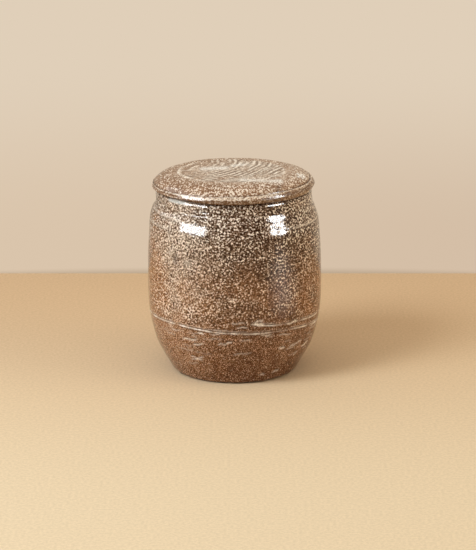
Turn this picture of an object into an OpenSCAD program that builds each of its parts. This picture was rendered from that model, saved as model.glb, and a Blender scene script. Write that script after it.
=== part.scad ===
// Lidded stoneware storage jar of the onggi kind.
//
// The jar is one thrown and fired pot: a flat foot, a wall that swells to a
// belly a little below half height, a soft shoulder, a short neck and a
// rounded rim with a narrow flat on top. The lid is a second fired piece: a
// low dome with a flat face where it was cut off the wheel, a rolled lip round
// its edge, and a locating ring underneath that drops into the mouth.
//
// Millimetres. The origin is the centre of the foot on the surface that the
// jar stands on, +Z is up and is the axis that both pieces are turned on.

/* [Jar] */
// Widest outer diameter of the jar, at the belly
belly_d = 180; // [170:1:220]
// Height of the jar from its foot to its rim, without the lid
body_h = 191; // [160:1:230]
// Thickness of the wall, measured square to the wall
wall_t = 7; // [5:0.5:8.5]
// Thickness of the bottom inside the foot
floor_t = 9; // [7:0.5:14]
// Height of the rounded corner inside, where the bottom turns into the wall
corner_h = 22; // [16:1:36]
// Width of the narrow flat on top of the rim that the lid sits on
rim_flat = 2.8; // [1.5:0.1:3.5]

/* [Lid] */
// How far the lip of the lid stands out past the neck of the jar
lip_overhang = 2.8; // [1.5:0.1:6]
// Height of the lid from its seat to its flat top
lid_rise = 16.6; // [14:0.2:22]
// Diameter of the flat face where the lid was cut off the wheel
top_d = 112; // [90:1:114]
// Thickness of the lid at its middle
lid_t = 6.5; // [5:0.5:9]
// How far the locating ring reaches down into the mouth
ring_depth = 10; // [6:0.5:16]
// Thickness of the locating ring
ring_t = 5; // [4:0.5:7]
// Gap all round between the locating ring and the mouth
ring_gap = 2; // [1:0.25:3]

/* [Surface] */
// Height of the fine ridge round the flat face on top of the lid
edge_ridge = 0.4; // [0:0.1:0.8]
// Depth of the fine groove between the dome and the lip of the lid
lip_groove = 0.5; // [0:0.1:0.8]

/* [Hidden] */
$fn = 180;

// Every outline is drawn for a jar 180 wide and 191 high, then scaled.
sx = belly_d / 180;
sz = body_h / 191;

// Control points of the outside of the jar, [radius, height], foot to neck.
outer_ctl = [
    [61.5, 0], [63.8, 0.8], [65.2, 2.6], [68, 6.5], [71.4, 12], [76, 20],
    [80.8, 30], [84, 40], [86.5, 50], [88.3, 60], [89.6, 72], [90, 86],
    [89.9, 100], [89.6, 115], [89.15, 130], [88.6, 142], [88.25, 150],
    [87.9, 156], [87.35, 160], [86.3, 164], [84.95, 168], [83.3, 172],
    [81.8, 175.5], [81.1, 179.5], [80.7, 183], [80.4, 186]];

// One point of a Catmull-Rom curve between b and c.
function cr(a, b, c, d, t) =
    0.5 * (2 * b + (c - a) * t + (2 * a - 5 * b + 4 * c - d) * t * t
           + (3 * b - a - 3 * c + d) * t * t * t);
// The whole curve through the points p, with n steps between each pair.
function curve(p, n) = concat(
    [for (i = [0 : len(p) - 2]) for (k = [0 : n - 1])
        cr(p[max(i - 1, 0)], p[i], p[i + 1], p[min(i + 2, len(p) - 1)], k / n)],
    [p[len(p) - 1]]);
function scaled(p) = [for (q = p) [q[0] * sx, q[1] * sz]];

outer = curve(scaled(outer_ctl), 4);

// Radius of the outside, and its slope, at a height.
outer_table = [for (q = outer) [q[1], q[0]]];
function r_out(z) = lookup(z, outer_table);
function slope(z) = (r_out(z + 3) - r_out(z - 3)) / 6;

neck_z = 186 * sz;
neck_r = 80.4 * sx;
mouth_r = neck_r - wall_t;

// Inside of the wall: the outside moved in by the wall thickness, blended
// into the straight mouth at the top and into a round corner at the bottom.
corner_w = 20 * sx;
function r_wall(z) = r_out(z) - wall_t * sqrt(1 + pow(slope(z), 2));
function corner(z) = let (u = min(1, max(0, (z - floor_t) / corner_h)))
    1 - sqrt(1 - pow(1 - u, 2));
// The mouth is never narrower than its nominal radius.
function r_in(z) = max(z > 150 * sz ? mouth_r : 0,
    r_wall(max(z, 5)) - corner_w * corner(z));
inner_z = concat(
    [for (k = [0 : 17]) floor_t + corner_h * (1 - cos(k * 90 / 18))],
    [for (k = [0 : 56]) floor_t + corner_h
        + (neck_z - floor_t - corner_h) * k / 56]);
inner = [for (z = inner_z) [r_in(z), z]];

// Rim: from the neck over a rounded outer edge to the flat, and down again
// over a smaller rounded inner edge to the mouth.
rim_out = mouth_r + 1.6 + rim_flat;
rim_edge_w = neck_r - rim_out;
rim_edge_h = body_h - neck_z;
rim = concat(
    [for (k = [1 : 8]) [rim_out + rim_edge_w * cos(k * 90 / 8),
                        neck_z + rim_edge_h * sin(k * 90 / 8)]],
    [for (k = [0 : 5]) [mouth_r + 1.6 - 1.6 * sin(k * 90 / 5),
                        body_h - 1.8 + 1.8 * cos(k * 90 / 5)]]);

module jar_body() {
    color([0.40, 0.28, 0.20])
    rotate_extrude()
    polygon(concat(
        [[0, 0]], outer, rim,
        [for (i = [len(inner) - 1 : -1 : 0]) inner[i]],
        [[0, floor_t]]));
}

// Lid. Its seat lies on the rim's flat.
seat_z = body_h;
top_z = seat_z + lid_rise;
lip_r = neck_r + lip_overhang;
top_r = top_d / 2;
ring_r = mouth_r - ring_gap;
lid_s = lid_rise / 16.6;
// Lower end of the round corner under the dome, above the end of the ring.
ring_end = seat_z - ring_depth + ring_t / 2;
hollow_z = max(top_z - lid_t - 9.5, ring_end + 0.5);
hollow_h = top_z - lid_t - 0.5 - hollow_z;

// The dome, from the flat face out to the groove behind the lip: x is the part
// of the way across, y the drop below the flat face as a part of the rise.
dome_ctl = [[0.20, 0.012], [0.38, 0.028], [0.56, 0.08], [0.71, 0.15],
            [0.85, 0.25], [0.94, 0.355], [1, 0.455]];
dome = [for (q = dome_ctl) [top_r + q[0] * (lip_r - 3.3 - top_r),
                            top_z - q[1] * lid_rise]];
// The lip: x in from its outside, y up from the seat. Its face leans back a
// little above the widest point and is undercut below it.
lip_ctl = [[-2.4, 8.3], [-1.6, 7.8], [-0.9, 6.6], [-0.35, 5.2], [0, 3.9],
           [-0.15, 3.1], [-0.8, 2.1], [-1.6, 1.3], [-2.4, 0.8]];
lip = [for (q = lip_ctl) [lip_r + q[0], seat_z + q[1] * lid_s]];
lid_top_ctl = concat(
    [[0.01, top_z], [0.55 * top_r, top_z - 0.05], [0.9 * top_r, top_z - 0.2],
     [top_r - 1.3, top_z - 0.15], [top_r, top_z - 0.2 + edge_ridge],
     [top_r + 1.3, top_z - 0.2]],
    dome,
    [[lip_r - 3.05, seat_z + (8.5 - lip_groove) * lid_s]],
    lip);

module lid() {
    color([0.60, 0.47, 0.38])
    rotate_extrude()
    polygon(concat(
        [[0, top_z]], curve(lid_top_ctl, 4),
        // flat seat, from under the lip to the root of the locating ring
        [[rim_out + 1.6, seat_z], [ring_r + 0.8, seat_z],
         [ring_r, seat_z - 0.8]],
        // locating ring, with a rounded lower end
        [for (a = [0 : -18 : -180])
            [ring_r - ring_t / 2 + ring_t / 2 * cos(a),
             ring_end + ring_t / 2 * sin(a)]],
        // underside of the dome, with a round corner inside the ring
        [for (a = [0 : 10 : 90])
            [ring_r - ring_t - 12 + 12 * cos(a),
             hollow_z + hollow_h * sin(a)]],
        [[0, top_z - lid_t]]));
}

jar_body();
lid();
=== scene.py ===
import math

import bpy
import numpy as np
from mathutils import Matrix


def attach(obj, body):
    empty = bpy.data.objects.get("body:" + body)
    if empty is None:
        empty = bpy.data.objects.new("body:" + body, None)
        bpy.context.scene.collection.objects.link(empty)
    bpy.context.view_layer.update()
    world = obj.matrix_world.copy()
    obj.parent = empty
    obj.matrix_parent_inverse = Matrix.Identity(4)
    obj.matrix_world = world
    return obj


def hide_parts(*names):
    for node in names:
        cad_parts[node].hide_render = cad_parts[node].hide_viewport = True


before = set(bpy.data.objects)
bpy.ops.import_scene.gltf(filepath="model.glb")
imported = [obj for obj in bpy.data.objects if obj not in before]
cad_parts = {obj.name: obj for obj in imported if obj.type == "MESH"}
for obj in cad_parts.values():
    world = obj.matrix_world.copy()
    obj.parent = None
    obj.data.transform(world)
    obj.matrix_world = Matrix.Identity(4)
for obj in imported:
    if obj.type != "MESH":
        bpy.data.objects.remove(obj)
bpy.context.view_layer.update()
MM = 0.001

# ---------------------------------------------------------------- helpers


def curve(points, n):
    """Catmull-Rom curve through the points, with n steps between each pair."""
    p = np.array(points, float)
    out = []
    for i in range(len(p) - 1):
        a, b, c, d = p[max(i - 1, 0)], p[i], p[i + 1], p[min(i + 2, len(p) - 1)]
        for k in range(n):
            t = k / n
            out.append(0.5 * (2 * b + (c - a) * t + (2 * a - 5 * b + 4 * c - d) * t * t
                              + (3 * b - a - 3 * c + d) * t ** 3))
    out.append(p[-1])
    return np.array(out)


def spaced(line, step):
    """The line again with points about step apart. step is a number, or a function of (r, z)."""
    line = np.array(line, float)
    d = np.hypot(*np.diff(line, axis=0).T)
    s = np.concatenate([[0], np.cumsum(d)])
    fine = np.linspace(0, s[-1], max(int(s[-1] / 0.05), 4))
    r, z = np.interp(fine, s, line[:, 0]), np.interp(fine, s, line[:, 1])
    want = np.array([step(a, b) for a, b in zip(r, z)]) if callable(step) else np.full(len(fine), step)
    count = np.concatenate([[0], np.cumsum(np.diff(fine) / want[1:])])
    n = max(int(round(count[-1])), 1)
    at = np.interp(np.linspace(0, count[-1], n + 1), count, fine)
    return np.stack([np.interp(at, fine, r), np.interp(at, fine, z)], 1)


def field(p, size, seed, terms=40, spread=0.4):
    """Smooth seeded noise of about unit spread, with features about size across, at the points p."""
    g = np.random.default_rng(seed)
    d = g.normal(size=(terms, 3))
    d /= np.linalg.norm(d, axis=1)[:, None]
    k = 2 * math.pi / (size * (1 + spread * g.uniform(-1, 1, terms)))
    return np.cos(p @ (d * k[:, None]).T + g.uniform(0, 2 * math.pi, terms)).sum(1) * math.sqrt(2 / terms)


def bell(x, width):
    return np.exp(-0.5 * (x / width) ** 2)


def step01(x, lo, hi):
    t = np.clip((x - lo) / (hi - lo), 0, 1)
    return t * t * (3 - 2 * t)


def wrap(a):
    """Degrees from -180 to 180."""
    return (a + 180) % 360 - 180


class Turned:
    """A closed surface turned about Z from an outline that starts and ends on the axis.
    rows holds (r, z) in mm from the lower middle, out and round, and back to the axis."""

    def __init__(self, rows, around=360):
        rows = np.array(rows, float)
        self.rows, self.n = rows, around
        self.ends = rows[0, 0] < 1e-6, rows[-1, 0] < 1e-6
        body = rows[1:-1]
        a = np.arange(around) * 2 * math.pi / around
        self.az = np.degrees(np.tile(a, len(body)))  # 0 is the front, -Y, and 90 is +X
        self.az = wrap(self.az)
        self.r = np.repeat(body[:, 0], around)
        self.z = np.repeat(body[:, 1], around)
        t = rows[2:] - rows[:-2]
        t /= np.hypot(*t.T)[:, None]
        self.nr = np.repeat(t[:, 1], around)  # outward normal of the outline
        self.nz = np.repeat(-t[:, 0], around)
        s = np.concatenate([[0], np.cumsum(np.hypot(*np.diff(rows, axis=0).T))])
        self.s = np.repeat(s[1:-1], around)
        self.row = np.repeat(np.arange(len(body)), around)
        self.a = np.tile(a, len(body))
        self.h = np.zeros(len(self.a))
        self.moved = np.zeros((len(self.a), 2))  # extra (r, z), in mm
        self.marks = {}

    def xyz(self):
        return np.stack([self.r * np.sin(self.a), -self.r * np.cos(self.a), self.z], 1)

    def unwrap(self, me, charts):
        """Lays the surface flat. charts holds (first row, last row, place), and place turns the
        distance along the outline, the step round, and the face's step round, into u and v."""
        n, m = self.n, len(self.rows) - 2
        s = np.concatenate([[0], np.cumsum(np.hypot(*np.diff(self.rows, axis=0).T))])
        end, s = s[-1], s[1:-1]
        i, j = np.meshgrid(np.arange(m - 1), np.arange(n), indexing="ij")
        uv = np.zeros((m - 1, n, 4, 2))
        for lo, hi, place in charts:
            a, b = i[lo:hi], j[lo:hi]
            for c, (di, dj) in enumerate(((0, 0), (0, 1), (1, 1), (1, 0))):
                uv[lo:hi, :, c] = np.stack(place(s[a + di], b + dj, b), -1)
        j = np.arange(n)
        first, last = charts[0][2], charts[-1][2]
        fans = [[first(0 * j, j, j), first(s[0] + 0 * j, j + 1, j), first(s[0] + 0 * j, j, j)],
                [last(end + 0 * j, j, j), last(s[-1] + 0 * j, j, j), last(s[-1] + 0 * j, j + 1, j)]]
        fans = [np.stack([np.stack(q, -1) for q in fan], 1).reshape(-1, 2) for fan in fans]
        flat = np.concatenate([uv.reshape(-1, 2)] + fans)
        layer = me.uv_layers.new(name="OFBake")
        layer.data.foreach_set("uv", flat.astype(np.float32).ravel())

    def disc_chart(self, x, y, radius, centre, far, flip):
        """A round chart: centre and far are distances along the outline."""
        def place(s, j, face):
            a = 2 * math.pi * j / self.n
            d = radius * np.abs(s - centre) / abs(far - centre)
            return x + d * np.sin(a) * (-1 if flip else 1), y - d * np.cos(a)
        return place

    def build(self, name, charts):
        r = self.r + self.nr * self.h + self.moved[:, 0]
        z = self.z + self.nz * self.h + self.moved[:, 1]
        z = np.maximum(z, 0)
        co = np.stack([r * np.sin(self.a), -r * np.cos(self.a), z], 1)
        n, m = self.n, len(self.rows) - 2
        lo = np.array([[0, 0, z[:n].mean()]])
        hi = np.array([[0, 0, z[-n:].mean()]])
        co = np.concatenate([co, lo, hi]) * MM
        i, j = np.meshgrid(np.arange(m - 1), np.arange(n), indexing="ij")
        k = (j + 1) % n
        quads = np.stack([i * n + j, i * n + k, (i + 1) * n + k, (i + 1) * n + j], -1).reshape(-1, 4)
        j = np.arange(n)
        k = (j + 1) % n
        first = np.stack([np.full(n, m * n), k, j], 1)
        last = np.stack([np.full(n, m * n + 1), (m - 1) * n + j, (m - 1) * n + k], 1)
        me = bpy.data.meshes.new(name)
        loops = np.concatenate([quads.ravel(), first.ravel(), last.ravel()])
        sizes = np.concatenate([np.full(len(quads), 4), np.full(2 * n, 3)])
        me.vertices.add(len(co))
        me.vertices.foreach_set("co", co.astype(np.float32).ravel())
        me.loops.add(len(loops))
        me.loops.foreach_set("vertex_index", loops.astype(np.int32))
        me.polygons.add(len(sizes))
        me.polygons.foreach_set("loop_start", np.concatenate([[0], np.cumsum(sizes)[:-1]]).astype(np.int32))
        me.update(calc_edges=True)
        self.unwrap(me, charts)
        me.validate()
        for mark, values in self.marks.items():
            at = me.attributes.new(mark, "FLOAT", "POINT")
            ends = [values[:n].mean(), values[-n:].mean()]
            at.data.foreach_set("value", np.concatenate([values, ends]).astype(np.float32))
        me.polygons.foreach_set("use_smooth", np.ones(len(me.polygons), bool))
        ob = bpy.data.objects.new(name, me)
        bpy.context.scene.collection.objects.link(ob)
        return ob


# ---------------------------------------------------------------- the jar

OUTER = [
    [62.6, 0], [64.9, 0.9], [66.3, 2.2], [68.5, 6.0], [71.5, 12], [76, 20],
    [80.8, 30], [84, 40], [86.5, 50], [88.3, 60], [89.6, 72], [90, 86],
    [89.9, 100], [89.6, 115], [89.15, 130], [88.6, 142], [88.25, 150],
    [87.9, 156], [87.35, 160], [86.3, 164], [84.95, 168], [83.35, 172],
    [82.1, 175.0], [81.45, 176.6], [81.27, 177.1], [81.2, 177.9], [81.0, 180], [80.7, 183], [80.6, 185],
    [80.5, 186.8]]
INNER = [
    [73.4, 189], [73.5, 185], [74.0, 180], [74.7, 175], [76.6, 170], [78.6, 165],
    [80.2, 160], [81.0, 155], [81.3, 148], [81.7, 140], [82.5, 120], [82.9, 100],
    [82.9, 80], [81.2, 60], [79.3, 50], [77.3, 42], [75.5, 36], [73.2, 30],
    [70.8, 26], [67.4, 22], [63.0, 18], [57.2, 14], [51.0, 11], [45.5, 9.4],
    [38, 9.0]]

rim = curve([[80.6, 185], [80.5, 186.8], [80.2, 188.2], [79.6, 189.5], [78.8, 190.4], [77.9, 190.9], [76.9, 191.0]], 4)[4:].tolist()
rim += [(75.5, 191)]
rim += [(75.0 - 1.6 * math.sin(t), 189.2 + 1.8 * math.cos(t)) for t in np.linspace(0, math.pi / 2, 12)]

LINE_LO, LINE_HI = 53.0, 71.5  # the heights between which the incised line runs


def outer_step(r, z):
    if z < 9:
        return 0.95
    if z < 24:
        return 1.5
    if z < LINE_LO:
        return 1.3
    if z < LINE_HI:
        return 0.52
    if z < 155:
        return 2.0
    if 175 < z < 178.6:
        return 0.45
    return 1.45


under = np.stack([np.linspace(0, 62.6, 27), np.zeros(27)], 1)
outer = spaced(curve(OUTER, 12), outer_step)
top = spaced(rim, 0.75)
inner = spaced(curve(INNER, 8), lambda r, z: 2.4 if z > 155 else (3.9 if z > 34 else 2.8))
floor_in = np.stack([np.linspace(38, 0, 14), np.full(14, 9.0)], 1)
jar_rows = np.concatenate([under[:-1], outer, top[1:], inner[1:], floor_in[1:]])
jar = Turned(jar_rows)

n_under, n_outer, n_top = len(under) - 1, len(outer), len(top) - 1
row_kind = np.zeros(len(jar_rows), int)  # 0 underside, 1 outside, 2 rim, 3 inside, 4 inside bottom
row_kind[n_under:] = 1
row_kind[n_under + n_outer:] = 2
row_kind[n_under + n_outer + n_top:] = 3
row_kind[-13:] = 4
kind = np.repeat(row_kind[1:-1], jar.n)
az, z, r = jar.az, jar.z, jar.r
P = jar.xyz()
outside = (kind == 1)
inside = (kind >= 3)

# Slightly out of round, and soft dents, which the inside follows.
soft = 0.16 * np.cos(np.radians(2 * az - 50)) + 0.09 * np.cos(np.radians(3 * az + 20)) + 0.13 * field(P, 75, 11)
soft *= step01(z, 1, 25) * step01(191.5 - z, 0, 8)
sign = np.where(inside, -1.0, 1.0)  # the outline's normal points into the hollow on the inside
jar.h += soft * sign * np.where(kind == 0, 0, 1) * np.where(kind == 4, 0, 1)

# The shoulder is fuller with a harder edge on the left than on the right, and the
# neck sits a little to the left of the belly.
fuller = np.interp(az, [-180, -130, -95, -20, 4, 22, 55, 85, 120, 180], [0, 0.5, 1, 1, 0, -1, -1, 0.6, 0.3, 0])
jar.h += outside * 0.34 * fuller * step01(z, 157, 168) * step01(175.6 - z, 0, 3.6)
jar.h -= outside * 0.70 * step01(30 - np.abs(wrap(az + 92)), -20, 12) * step01(z, 171, 175) * step01(184 - z, 0, 5)
jar.h -= outside * 0.35 * step01(40 - np.abs(wrap(az - 88)), -20, 15) * step01(z, 138, 150) * step01(174 - z, 0, 6)
jar.h += outside * 0.20 * step01(z, 2, 30) * step01(150 - z, 0, 30)
lean = 0.42 - 0.72 * step01(z, 148, 180)
jar.moved[:, 0] += lean * np.sin(jar.a) * step01(z, 0, 20)
at_foot = np.where(kind == 0, r / 62.6, outside * step01(16 - z, 0, 14))
jar.moved[:, 0] += at_foot * (2.5 * bell(wrap(az - 9), 46) - 1.5 * bell(wrap(az + 78), 26) - 0.8 * bell(wrap(az - 84), 24))

# Throwing rings outside: a faint spiral left by the fingers.
turn = (az + 180) / 360
ringed = np.sin(2 * math.pi * (z / 8.3 + turn) + 0.8 * field(P, 60, 12)) * (0.55 + 0.45 * np.tanh(field(P, 90, 13)))
fine = np.sin(2 * math.pi * (z / 3.1 + turn) + 1.2 * field(P, 40, 14)) * (0.5 + 0.5 * np.tanh(field(P, 50, 15)))
shoulder = step01(z, 140, 158)
jar.h += outside * step01(z, 6, 30) * step01(188 - z, 0, 6) * ((0.045 - 0.027 * shoulder) * ringed + 0.008 * fine)


ring_highlight = np.zeros(len(az))
ring_shade = np.zeros(len(az))


def ring(z0, width, height, spans):
    """A thin raised ring that comes and goes: spans holds (middle, half width, strength) in degrees."""
    w = sum(s * step01(half + 9 - np.abs(wrap(az - mid)), 0, 14) for mid, half, s in spans)
    w = outside * np.clip(w, 0, 1)
    jar.h += height * w * (bell(z - z0, width) - 0.55 * bell(z - z0 + 2.0 * width, width))
    line = w * step01(height, 0.2, 0.4)
    # A painted highlight along the ring's top and painted shade under it.
    ring_highlight[:] += 0.80 * line * bell(z - z0 - 0.2, 0.6)
    ring_shade[:] += 0.65 * line * bell(z - z0 + 1.7, 0.7)


wob = 0.5 * np.sin(np.radians(az * 1 + 30)) + 0.3 * np.sin(np.radians(3 * az))
ring(170.9 - 0.08 * np.clip(wrap(az + 57), -40, 60) + 0.2 * wob, 0.85, 0.55, [(-60, 22, 1), (150, 40, 0.6)])
ring(161.6 + 1.2 * np.sin(np.radians(az)) + 0.2 * wob, 0.85, 0.52, [(-63, 12, 0.9), (60, 14, 1.0), (-150, 40, 0.7)])
ring(177.6 + 0.3 * wob, 1.2, 0.14, [(120, 40, 0.8)])

# The incised line: it starts at the front, goes once round and runs on 9 mm lower.
LINE_AT = [10, 14, 18, 23, 30, 43, 52, 63, 90, 140, 200, 260, 282, 300, 315, 326, 335, 341, 349, 356, 369, 391, 402, 412, 422, 431, 445, 470]
LINE_Z = [70.0, 69.3, 68.2, 67.0, 66.2, 66.1, 65.4, 64.4, 63.9, 63.6, 63.8, 63.3, 62.6, 63.6, 64.0, 63.3, 62.5, 61.7, 60.6, 60.3, 59.4, 59.3, 58.6, 57.5, 56.2, 55.0, 54.4, 54.2]
LINE_S = [0, 0.9, 1, 1, 0.45, 0.45, 0.6, 1, 0.8, 0.6, 0.9, 0.8, 0.9, 1, 1, 1, 1, 0.95, 0.95, 1, 0.85, 0.4, 0.5, 1, 1, 0.9, 0.5, 0]
cut = np.zeros(len(az))
lit_edges = ring_highlight.copy()
dark = ring_shade.copy()
for lap in (0, 360):
    t = (az % 360) + lap
    z0 = np.interp(t, LINE_AT, LINE_Z)
    strength = np.interp(t, LINE_AT, LINE_S, left=0, right=0)
    strength = strength * (0.85 + 0.25 * field(P, 9, 21))
    strength = np.clip(strength, 0, 1.2) * outside
    d = z - z0
    cut += strength * (-0.42 * bell(d - 0.15, 0.55) + 0.20 * bell(d + 1.15, 0.6) + 0.10 * bell(d - 1.5, 0.5))
    # Painted highlight along the groove's lower wall and painted shade along its upper wall, with fainter ones further
    # out.
    lit_edges += strength * (1.15 * bell(d + 0.55, 0.50) + 0.45 * bell(d - 1.75, 0.45))
    dark += strength * (bell(d - 0.62, 0.5) + 0.5 * bell(d + 1.8, 0.5))

# Short trimming marks below it, from points read along each: (azimuth, height) pairs.
MARKS = [
    ((13.2, 69.9), (19.4, 68.0), 1.5, 0.75), ((13.8, 70.8), (15.4, 73.0), 1.0, 0.5), ((14.5, 73.2), (19.0, 72.6), 0.8, 0.4),
    ((-29, 44.4), (-21, 46.6), 0.8, 0.45), ((-16, 58.0), (-9, 58.6), 0.5, 0.35), ((37, 64.8), (46, 66.8), 0.7, 0.4),
    ((-24.1, 58.9), (-20.1, 57.7), 0.9, 0.5), ((-37, 49.4), (-25, 50.4), 0.9, 0.42),
    ((-10.8, 48.0), (-6, 48.2), 0.7, 0.4), ((-6, 48.2), (-1.2, 51.1), 0.8, 0.45),
    ((32.9, 39.5), (38, 38.6), 1.0, 0.5), ((42.8, 38.4), (55.2, 41.6), 0.8, 0.45),
    ((40, 36.2), (48, 37.2), 0.5, 0.4), ((-32.9, 30.6), (-23.1, 27.3), 0.8, 0.4),
    ((-32.8, 26.1), (-22, 31.5), 0.8, 0.4), ((49.2, 25.2), (53.5, 28.5), 0.7, 0.4),
    ((57, 33), (66, 37), 0.9, 0.5), ((18, 57), (26, 56.2), 0.5, 0.4), ((31, 55.2), (42, 53.0), 0.55, 0.4),
    ((-14, 62.8), (-4, 63.2), 0.35, 0.4), ((4, 52.6), (12, 52.2), 0.5, 0.4), ((-52, 52), (-44, 51.2), 0.4, 0.4),
    ((22, 10.2), (26, 9.4), 0.8, 0.5), ((33, 10.5), (40, 12.2), 0.7, 0.45), ((-46, 56.5), (-38, 57.6), 0.5, 0.4),
    ((2, 66.4), (9, 66.9), 0.55, 0.4), ((-2, 70.6), (7, 71.4), 0.5, 0.45),
]
g = np.random.default_rng(31)
for _ in range(46):  # more of the same, all round but for the front, and a few faint ones there
    a0, length = g.uniform(-180, 180), g.uniform(4, 15)
    faint = 0.35 if abs(a0 + length / 2) < 70 else 0.8
    h0 = g.uniform(18, 57)
    MARKS.append(((a0, h0), (a0 + length, h0 + g.uniform(-2.2, 2.6)), faint * g.uniform(0.5, 1), g.uniform(0.35, 0.5)))
for (a0, h0), (a1, h1), s, w in MARKS:
    t = wrap(az - a0) / (a1 - a0)
    near = (t > -0.4) & (t < 1.4) & outside & (np.abs(z - (h0 + h1) / 2) < 8)
    if not near.any():
        continue
    tt = t[near]
    along = step01(tt, -0.08, 0.1) * step01(1.08 - tt, 0, 0.3)
    d = z[near] - (h0 + (h1 - h0) * tt) - 0.45 * np.sin(9 * tt + h0)
    cut[near] += s * along * (-0.22 * bell(d - 0.1, w + 0.15) + 0.16 * bell(d + 0.9, w + 0.1))
    # Painted highlight along each mark's lower edge and painted shade along its upper edge.
    lit_edges[near] += 1.5 * s * along * bell(d + 0.45, w + 0.05)
    dark[near] += 0.95 * s * along * bell(d - 0.6, w)

# Faint scraping from trimming, all over the lower wall.
scrape = np.sin(2 * math.pi * z / 2.3 + 2.0 * field(P, 45, 16)) * np.clip(field(P * [1, 1, 2.2], 30, 17), 0, 1.5)
jar.h += outside * step01(z, 6, 16) * step01(74 - z, 0, 12) * 0.035 * scrape
jar.h += cut

# Foot: the outline's lower corner is uneven, as a knife leaves it.
foot_edge = outside * step01(9 - z, 0, 6)
jar.h += foot_edge * 0.10 * field(P, 14, 18)

# Underside: shell-shaped arcs from cutting the jar off the wheel, kept above the ground.
under_mask = kind == 0
ux, uy = P[:, 0] + 46, P[:, 1] - 30
ur = np.hypot(ux, uy)
saw = (ur / 5.2 + 0.25 * np.sin(np.arctan2(uy, ux) * 3)) % 1
arcs = 0.34 * (np.clip(saw / 0.8, 0, 1) ** 1.6 * np.where(saw > 0.8, (1 - saw) / 0.2, 1))
inner_foot = step01(62.1 - r, 0.2, 4.0)  # the rest is kept off the ground
jar.moved[:, 1] += np.where(under_mask, inner_foot * (0.25 + arcs + 0.06 * (1 + np.tanh(field(P, 6, 19)))), 0)

# Rim: worn uneven where fingers finished it.
jar.h += (kind == 2) * 0.035 * field(P, 22, 20)

# Inside: deeper throwing rings, and a spiral in the bottom.
wave = np.sin(2 * math.pi * (z / 10.5 - turn) + 0.5 * field(P, 70, 22))
jar.h += (kind == 3) * step01(z, 12, 30) * step01(178 - z, 0, 14) * -0.32 * wave
swirl = np.sin(2 * math.pi * (r / 9.5 - turn))
low = inside & (z < 16)
jar.h += np.where(low, 0.22 * swirl * step01(62 - r, 0, 10) * step01(r, 1, 7), 0)

# Painted shade in the crevice under the lid, and a painted pale reflection on the rim at the left.
rim_reflection = step01(az, -57, -53) * step01(-34 - az, 0, 6) * (z > 180)
crevice_shade = (outside | (kind == 2)) * step01(r, 75.9, 76.6) * step01(z, 189.3 + 0.7 * rim_reflection, 190.1 + 0.6 * rim_reflection) * 1.1
# Painted highlights along the lines and rings.
jar.marks["cream_and_highlight"] = np.clip(lit_edges, 0, 1.3)
# Painted shade along the lines and rings, in the crevice under the lid, and at the foot where it meets the floor.
jar.marks["shade_and_smear"] = np.clip(dark + outside * step01(2.3 - z, 0, 1.5) * 1.2 + crevice_shade, 0, 1.2)
# Bare clay: the underside, a ragged line just above it, and the flat of the rim that the lid sits on.
foot_line = 1.1 + 0.35 * field(P, 20, 23) + 0.2 * field(P, 7, 24)
bare = np.where(under_mask, 1.0, outside * step01(foot_line - z, -0.5, 0.9))
seat = step01(r, 73.9, 74.6) * step01(79.0 + 0.25 * field(P, 9, 25) - r, 0, 0.7) * step01(z, 188.9, 189.9)
bare = np.maximum(bare, seat)
jar.marks["bare"] = bare
jar.marks["inner"] = np.where(kind >= 3, 1.0, np.where(kind == 2, step01(75.9 - r, 0, 1.2), 0.0))

# How the glaze changes over the wall: rich is how far it leans towards cream, calm how even
# it is, warm how orange. The left side is paler, its edge orange lower down, and the front
# darker; all of it drifts in soft patches.
cloud = 0.5 * np.tanh(field(P, 60, 41)) + 0.3 * np.tanh(field(P, 30, 42)) + 0.2 * np.tanh(field(P, 14, 43))
upper = step01(z, 62, 105)
crown = step01(z, 140, 164)
rich = -0.08 + 0.10 * bell(wrap(az + 43), 22) - 0.07 * bell(wrap(az + 90), 17)
rich -= (0.10 - 0.07 * crown) * bell(wrap(az - 8), 24) + 0.03 * (1 - upper) + 0.03 * (1 - step01(z, 8, 32))
rich -= 0.04 * bell(wrap(az + 80), 16) * step01(z, 85, 105) * step01(150 - z, 0, 20)
rich -= 0.05 * bell(wrap(az - 62), 20) * (1 - step01(z, 38, 64)) + 0.035 * bell(wrap(az + 62), 20) * step01(z, 148, 162)
rich += 0.02 * bell(wrap(az + 36), 18) * step01(112 - z, 0, 30) * step01(z, 66, 76)
rich -= 0.08 * (1 - step01(z, 6, 32)) * (1 - bell(wrap(az - 8), 26))
rich += (0.11 * step01(z, 112, 156) - 0.05) * step01(az, 38, 58) * step01(150 - az, 0, 40)
rich -= 0.035 * bell(wrap(az + 62), 22) * (1 - step01(z, 50, 68)) + 0.03 * bell(wrap(az - 48), 22) * (1 - step01(z, 14, 34))
rich += 0.022 * bell(wrap(az - 42), 28) * step01(z, 62, 92) * step01(160 - z, 0, 20)
jar.marks["tan"] = np.clip((0.50 + 0.50 * upper) * bell(wrap(az + 45), 24) * (1 + 0.3 * np.tanh(field(P, 30, 49))), 0, 1)
jar.marks["rich"] = rich + 0.035 * cloud
jar.marks["calm"] = np.clip(0.25 * bell(z - 100, 20) + step01(78 + 6 * np.tanh(field(P, 30, 44)) - z, 0, 26) + 0.10 * np.tanh(field(P, 40, 45)), 0, 1)
warm = 0.06 + 0.44 * step01(142 - z, 0, 50) * step01(z, 50, 75) + 0.95 * bell(wrap(az + 84), 18) * step01(z, 40, 62) * step01(170 - z, 0, 40)
warm += 0.68 * bell(wrap(az + 60), 30) * step01(80 - z, 0, 24) + 0.15 * bell(wrap(az - 74), 24) * step01(138 - z, 0, 40)
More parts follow.
